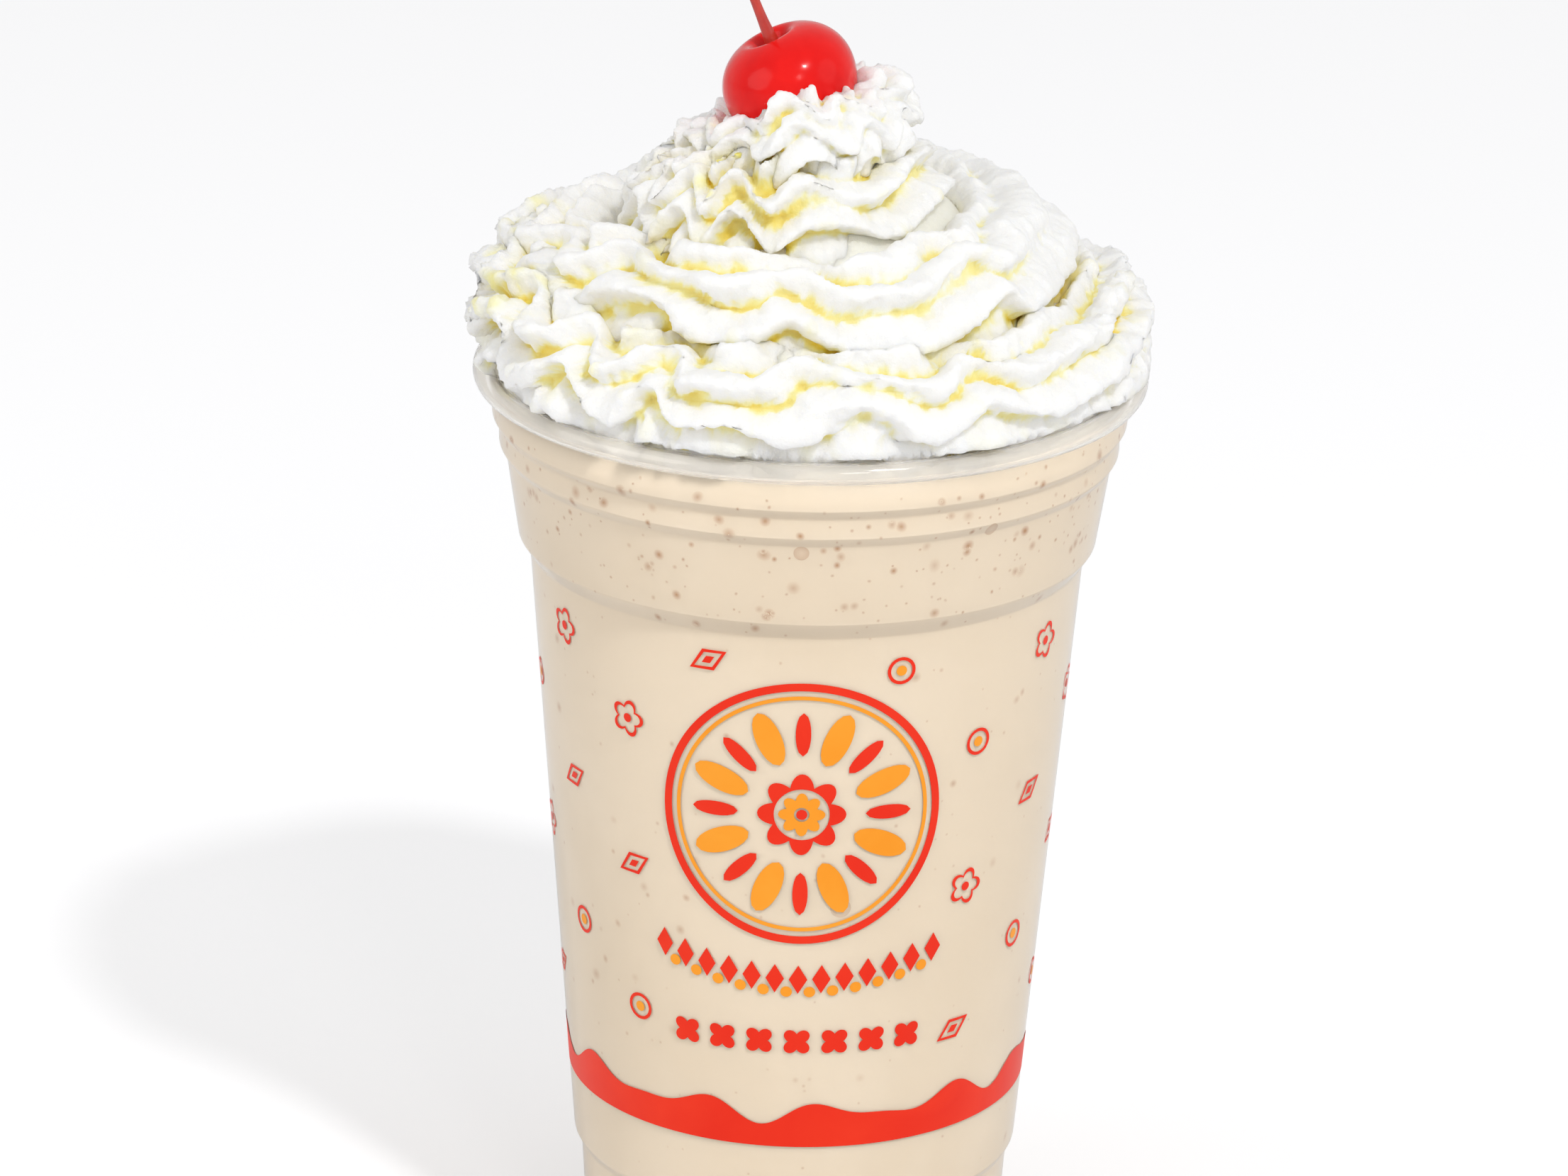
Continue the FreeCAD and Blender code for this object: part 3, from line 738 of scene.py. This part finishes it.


def pipe_rope(name, steps, sides, seed, lean, fins, crumb, **stops):
    """One length of piped cream: a finned rope laid round the axis whose fins sway as it goes.
    Each of the stops is a list of (turn, value): the rope's own radius, the radius and height of
    its path, how deep and how thin its fins are, how far they sway and how many times a turn.
    Millimetres and turns; turn 0 faces the viewer, a quarter turn is the right."""
    first, last = stops["radius"][0][0], stops["radius"][-1][0]
    turn = np.linspace(first, last, steps)
    read = {key: smooth_steps(turn, value) for key, value in stops.items()}

    # The path, and the directions out from the axis and ahead along it.
    ends = np.clip(np.minimum(turn - first, last - turn) / END_TURN, 0, 1)
    own = read["own"] * MM * np.sqrt(np.maximum(1 - (1 - ends) ** 2, END_FLAT ** 2))
    angle = turn * TAU
    outward = np.stack([np.sin(angle), -np.cos(angle), np.zeros(steps)], axis=-1)
    ahead = np.stack([np.cos(angle), np.sin(angle), np.zeros(steps)], axis=-1)[:, None]
    upward = np.array([0.0, 0.0, 1.0])
    centre = outward * (read["radius"] * MM)[:, None] + upward * (read["height"] * MM)[:, None]
    centre[:, 0] += lean * MM
    wander = fractal_noise(centre, WANDER_SIZE, 2, seed + 40) * WANDER
    side_step = fractal_noise(centre, SIDE_STEP_SIZE, 2, seed + 50) * WANDER
    centre = centre + upward * wander[:, None] + outward * side_step[:, None]

    # A round rope about the path.
    roll = np.arange(sides) * TAU / sides
    outward = outward[:, None]
    arm = outward * np.cos(roll)[:, None] + upward * np.sin(roll)[:, None]
    base = centre[:, None] + arm * own[:, None, None]

    # Fins that sway, overhang and lean.
    drift = fractal_noise(base, DRIFT_SIZE, 2, seed + 60)
    swept = np.cumsum(read["waves"]) * (angle[1] - angle[0])
    swing = swept[:, None] + ROLL_LEAD * roll + DRIFT * drift
    wave = np.sin(swing) + SECOND_WAVE * np.sin(2 * swing + 1.0)
    phase = fins * roll + read["sway"][:, None] * wave
    ridge = np.abs(np.sin(phase / 2)) ** read["thin"][:, None]
    uneven = 1 + UNEVEN * fractal_noise(base, UNEVEN_SIZE, 2, seed + 70)
    full = np.minimum(own / FULL_SIZE, 1)[:, None]
    depth = (read["depth"] * MM)[:, None]
    relief = depth * (ridge - RIDGE_MEAN) * uneven * full
    grid = base + arm * relief[..., None]
    down = outward * np.sin(roll)[:, None] - upward * np.cos(roll)[:, None]
    grid = grid + down * (depth * OVERHANG * ridge * ridge * full)[..., None]
    grid = grid + ahead * (depth * SHEAR * np.cos(swing) * ridge * full)[..., None]
    grid = blur(grid, SMOOTHING)

    # Lumps and crumbs, coarser towards the left and right edges.
    edge = np.clip((np.abs(grid[..., 0]) - CRUMBLY_FROM) / CRUMBLY_OVER, 0, 1)
    rough = crumb * (1 + CRUMBLY_EDGE * edge)
    for scale, octaves, size in LUMPS:
        normal = grid_normals(grid)
        bump = fractal_noise(grid, scale, octaves, seed + octaves * 10) * size
        grid = grid + normal * (bump * full * rough)[..., None]
    return name, keep_in_cup(grid)


def keep_in_cup(grid):
    """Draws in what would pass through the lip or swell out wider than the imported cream."""
    across = grid[..., :2] - np.array(CREAM_MID.xy)
    spread = np.linalg.norm(across, axis=-1, keepdims=True)
    over = np.maximum(spread - CREAM_REACH + EDGE_SOFTNESS, 0)
    eased = over * EDGE_SOFTNESS / (over + EDGE_SOFTNESS)
    drawn_in = np.array(CREAM_MID.xy) + across * (1 - (over - eased) / np.maximum(spread, 1 * MM))
    radius = np.linalg.norm(drawn_in, axis=-1)
    limit = np.interp(grid[..., 2], LIP_HEIGHTS, LIP_LIMITS)
    share = np.minimum(limit / np.maximum(radius, 1 * MM), 1)
    return np.concatenate([drawn_in * share[..., None], grid[..., 2:]], axis=-1)


def build_rope(name, grid, painted_shade):
    """A closed mesh from a rope's grid of points, which keeps the painted shade of each one, from
    how deep in a hollow it is.
    """
    steps, sides = grid.shape[:2]
    faces = grid_faces(steps, sides).tolist()
    faces.append(list(range(sides)))
    faces.append(list(range((steps - 1) * sides, steps * sides))[::-1])
    rope = new_mesh(name, grid.reshape(-1, 3), faces)
    mark_points(rope, "painted_shade", painted_shade)
    return rope


def valleys(grid):
    """From 0 on a rope's ridges to 1 between them: how far the skin lies under its mean."""
    normal = grid_normals(blur(grid, 2))
    found = np.zeros(grid.shape[:2])
    for rounds, size in VALLEY_SIZES:
        under = np.sum((blur(grid, rounds) - grid) * normal, axis=-1)
        found += np.clip(under / size, 0, 1) / len(VALLEY_SIZES)
    return found


def refined(coarse, shape):
    """Values of every RAY_STRIDE-th point, read in between for a whole grid of that shape."""
    rows = np.minimum(np.arange(shape[0]) / RAY_STRIDE, coarse.shape[0] - 1)
    cols = np.arange(shape[1]) / RAY_STRIDE
    row, col = rows.astype(int), cols.astype(int)
    next_row = np.minimum(row + 1, coarse.shape[0] - 1)
    next_col = (col + 1) % coarse.shape[1]
    part_row, part_col = (rows - row)[:, None], (cols - col)[None]
    here = coarse[row][:, col] * (1 - part_col) + coarse[row][:, next_col] * part_col
    there = coarse[next_row][:, col] * (1 - part_col) + coarse[next_row][:, next_col] * part_col
    return here * (1 - part_row) + there * part_row


def painted_fold_shade(ropes):
    """For each rope's grid, painted shade from 0 in the open to 1 deep in a fold, by rays sent out
    from it and by its valleys.
    """
    verts, faces, count = [], [], 0
    for _, grid in ropes:
        coarse = grid[::RAY_STRIDE, ::RAY_STRIDE]
        verts.append(coarse.reshape(-1, 3))
        faces.append(grid_faces(*coarse.shape[:2]) + count)
        count += coarse.shape[0] * coarse.shape[1]
    tree = BVHTree.FromPolygons(np.concatenate(verts).tolist(), np.concatenate(faces).tolist())
    spread = np.random.default_rng(RAY_SEED).normal(size=(RAY_COUNT, 3))
    spread /= np.linalg.norm(spread, axis=1, keepdims=True)
    found = []
    for _, grid in ropes:
        coarse = blur(grid, 2)[::RAY_STRIDE, ::RAY_STRIDE]
        normal = grid_normals(coarse)
        starts = (coarse + normal * RAY_START).reshape(-1, 3)
        shut = np.zeros(len(starts))
        for way in spread:
            aims = normal.reshape(-1, 3) * RAY_LIFT + way
            aims /= np.linalg.norm(aims, axis=1, keepdims=True)
            for index, (start, aim) in enumerate(zip(starts.tolist(), aims.tolist())):
                distance = tree.ray_cast(start, aim, RAY_REACH)[3]
                if distance is not None:
                    shut[index] += 1 - distance / RAY_REACH
        shut = blur((shut / RAY_COUNT).reshape(coarse.shape[:2]), 1)
        # Painted shade: the shut-in share of the rays plus the valleys, eased off towards the top.
        shade_amount = SHUT_SHARE * refined(shut, grid.shape) + VALLEY_SHARE * valleys(grid)
        high = np.clip((grid[..., 2] - PALE_FROM) / PALE_OVER, 0, 1)
        found.append(shade_amount * (1 - PALE_TOP * high))
    return found


# ---------------------------------------------------------------- whipped cream: the heap

# How deep the painted shade is, and the cream's colour there: white in the open, warm yellow
# painted shade deeper in the folds.
CREAM_TINTS = [(0.22, (0.968, 0.958, 0.92, 1)), (0.42, (0.985, 0.945, 0.79, 1)),
               (0.6, (1.0, 0.87, 0.4, 1)), (0.84, (1.0, 0.75, 0.09, 1))]
# The painted shade given to the core, which shows only deep in the folds.
CORE_PAINTED_SHADE = 0.34
# The plain core under the ropes: radius and height in millimetres.
CORE_OUTLINE = [(45.3, 140.65), (45.3, 142.4), (43.5, 145.0), (40.0, 152.0), (29.0, 160.0),
                (16.0, 170.0), (8.0, 178.0)]
CORE_SIDES = 128


def cream_material():
    """White cream with painted shade in warm yellow deep in its folds, and a fine porous grain."""
    material, tree, shader = new_material("cream_white")
    painted_shade = tree.nodes.new("ShaderNodeAttribute")
    painted_shade.attribute_name = "painted_shade"
    tint = tree.nodes.new("ShaderNodeValToRGB")
    stops = tint.color_ramp.elements
    stops[0].position, stops[0].color = CREAM_TINTS[0]
    stops[1].position, stops[1].color = CREAM_TINTS[-1]
    for position, color in CREAM_TINTS[1:-1]:
        stops.new(position).color = color
    # Painted shade: each point's shade value picks the cream's colour.
    tree.links.new(painted_shade.outputs["Fac"], tint.inputs["Fac"])
    tree.links.new(tint.outputs["Color"], shader.inputs["Base Color"])
    place = tree.nodes.new("ShaderNodeNewGeometry")
    add_grain(tree, shader, place, 1100.0, 0.8, 0.4 * MM, Detail=4.0, Roughness=0.7)
    set_inputs(shader, Roughness=0.55, Specular_IOR_Level=0.3, Subsurface_Weight=0.75,
               Subsurface_Radius=(1.0, 0.95, 0.85), Subsurface_Scale=2.2 * MM)
    return material


def make_cream():
    """Three finned turns and a curled tip over a plain core."""
    ropes = [
        pipe_rope("cream_turn_low", 780, 126, seed=1, lean=0.0, fins=8, crumb=1.0,
                  waves=[(-0.62, 10), (-0.15, 17), (0.05, 12), (0.2, 5), (0.6, 9)],
                  radius=[(-0.62, 36.5), (-0.5, 40.3), (0.0, 40.2), (0.25, 40.8), (0.45, 40.5),
                          (0.6, 36.5)],
                  height=[(-0.62, 150.0), (-0.33, 151.5), (0.0, 148.4), (0.25, 148.6),
                          (0.6, 150.0)],
                  own=[(-0.62, 6.5), (-0.5, 9.0), (0.0, 8.6), (0.25, 8.2), (0.45, 8.8),
                       (0.6, 6.5)],
                  depth=[(-0.62, 4.0), (-0.12, 5.0), (0.05, 4.4), (0.2, 3.6), (0.6, 3.2)],
                  thin=[(-0.62, 1.2), (-0.12, 2.2), (0.05, 1.8), (0.2, 1.3), (0.6, 1.2)],
                  sway=[(-0.62, 1.4), (-0.12, 2.9), (0.05, 1.9), (0.2, 1.2), (0.6, 1.4)]),
        pipe_rope("cream_turn_mid", 640, 126, seed=2, lean=0.0, fins=8, crumb=0.9,
                  waves=[(-0.6, 8), (-0.15, 11), (0.05, 8), (0.25, 4), (0.62, 8)],
                  radius=[(-0.6, 26.0), (-0.45, 33.0), (-0.27, 34.5), (-0.08, 29.0),
                          (0.25, 27.0), (0.45, 28.5), (0.62, 23.0)],
                  height=[(-0.6, 158.0), (-0.27, 154.5), (-0.05, 156.5), (0.25, 159.5),
                          (0.62, 161.0)],
                  own=[(-0.6, 8.5), (-0.27, 9.5), (-0.1, 9.0), (0.25, 9.8), (0.62, 8.8)],
                  depth=[(-0.6, 3.2), (-0.15, 4.4), (0.1, 4.2), (0.25, 2.8), (0.62, 3.2)],
                  thin=[(-0.6, 1.0), (-0.15, 1.6), (0.1, 1.5), (0.25, 0.9), (0.62, 1.0)],
                  sway=[(-0.6, 1.4), (-0.15, 2.6), (0.1, 1.6), (0.25, 1.2), (0.62, 1.4)]),
        pipe_rope("cream_turn_high", 700, 138, seed=3, lean=-4.0, fins=11, crumb=0.9,
                  waves=[(-0.55, 10), (-0.1, 17), (0.1, 5), (0.3, 4), (0.75, 8)],
                  radius=[(-0.55, 14.0), (0.0, 12.6), (0.3, 12.0), (0.75, 10.5)],
                  height=[(-0.55, 165.0), (0.0, 167.0), (0.3, 168.5), (0.75, 171.5)],
                  own=[(-0.55, 9.6), (0.0, 10.4), (0.3, 10.2), (0.75, 8.6)],
                  depth=[(-0.55, 3.6), (0.0, 4.4), (0.3, 4.2), (0.75, 3.4)],
                  thin=[(-0.55, 1.6), (0.0, 2.4), (0.3, 2.0), (0.75, 1.6)],
                  sway=[(-0.55, 2.8), (-0.12, 3.4), (0.12, 1.4), (0.3, 1.0), (0.75, 2.0)]),
        pipe_rope("cream_tip", 420, 112, seed=4, lean=-1.5, fins=8, crumb=1.0,
                  waves=[(-0.45, 8), (0.0, 9), (0.6, 8)],
                  radius=[(-0.45, 10.5), (-0.2, 11.5), (0.0, 10.4), (0.22, 10.6), (0.6, 9.0)],
                  height=[(-0.45, 174.5), (-0.2, 174.0), (0.0, 180.2), (0.22, 181.4),
                          (0.6, 178.5)],
                  own=[(-0.45, 4.6), (-0.2, 5.2), (0.0, 6.0), (0.22, 6.0), (0.6, 4.8)],
                  depth=[(-0.45, 2.6), (0.0, 3.4), (0.6, 2.8)],
                  thin=[(-0.45, 1.4), (0.0, 1.6), (0.6, 1.4)],
                  sway=[(-0.45, 2.4), (0.0, 2.8), (0.6, 2.4)]),
    ]
    core_r, core_z = (np.array(CORE_OUTLINE) * MM).T
    core = turned("cream_core", core_r, core_z, CORE_SIDES)
    # The core carries a middling painted shade, pale yellow where it shows in the crevices.
    mark_points(core, "painted_shade", np.full(len(core.data.vertices), CORE_PAINTED_SHADE))
    pieces = [build_rope(name, grid, painted_shade)
              for (name, grid), painted_shade in zip(ropes, painted_fold_shade(ropes))]
    cream = cream_material()
    for piece in pieces + [core]:
        put_material(piece, cream)
        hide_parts("whipped_cream")
        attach(piece, "root")


# ---------------------------------------------------------------- cherry

CHERRY_REDS = ((0.72, 0.003, 0.003), (0.84, 0.008, 0.006))
STEM_REDS = ((0.42, 0.015, 0.01), (0.6, 0.04, 0.02))


def make_cherry():
    """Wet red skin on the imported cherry, and a duller one on its stem."""
    flesh, _, shader, _ = mottled("cherry_skin", *CHERRY_REDS, 120.0, 0.1, 170.0, 0.5 * MM)
    set_inputs(shader, Specular_IOR_Level=0.1, Coat_Weight=0.5, Coat_IOR=1.33,
               Coat_Roughness=0.2, Subsurface_Weight=0.1, Subsurface_Radius=(1.0, 0.15, 0.1),
               Subsurface_Scale=2 * MM)
    put_material(NODES["cherry"], flesh)
    stem, _, shader, _ = mottled("stem_skin", *STEM_REDS, 300.0, 0.35, 1500.0, 0.1 * MM)
    set_inputs(shader, Coat_Weight=0.4)
    put_material(NODES["cherry_stem"], stem)


make_camera()
make_light()
make_floor()
make_cup()
make_shake()
make_print()
make_specks()
make_cream()
make_cherry()

bpy.context.scene.view_settings.view_transform = "Standard"
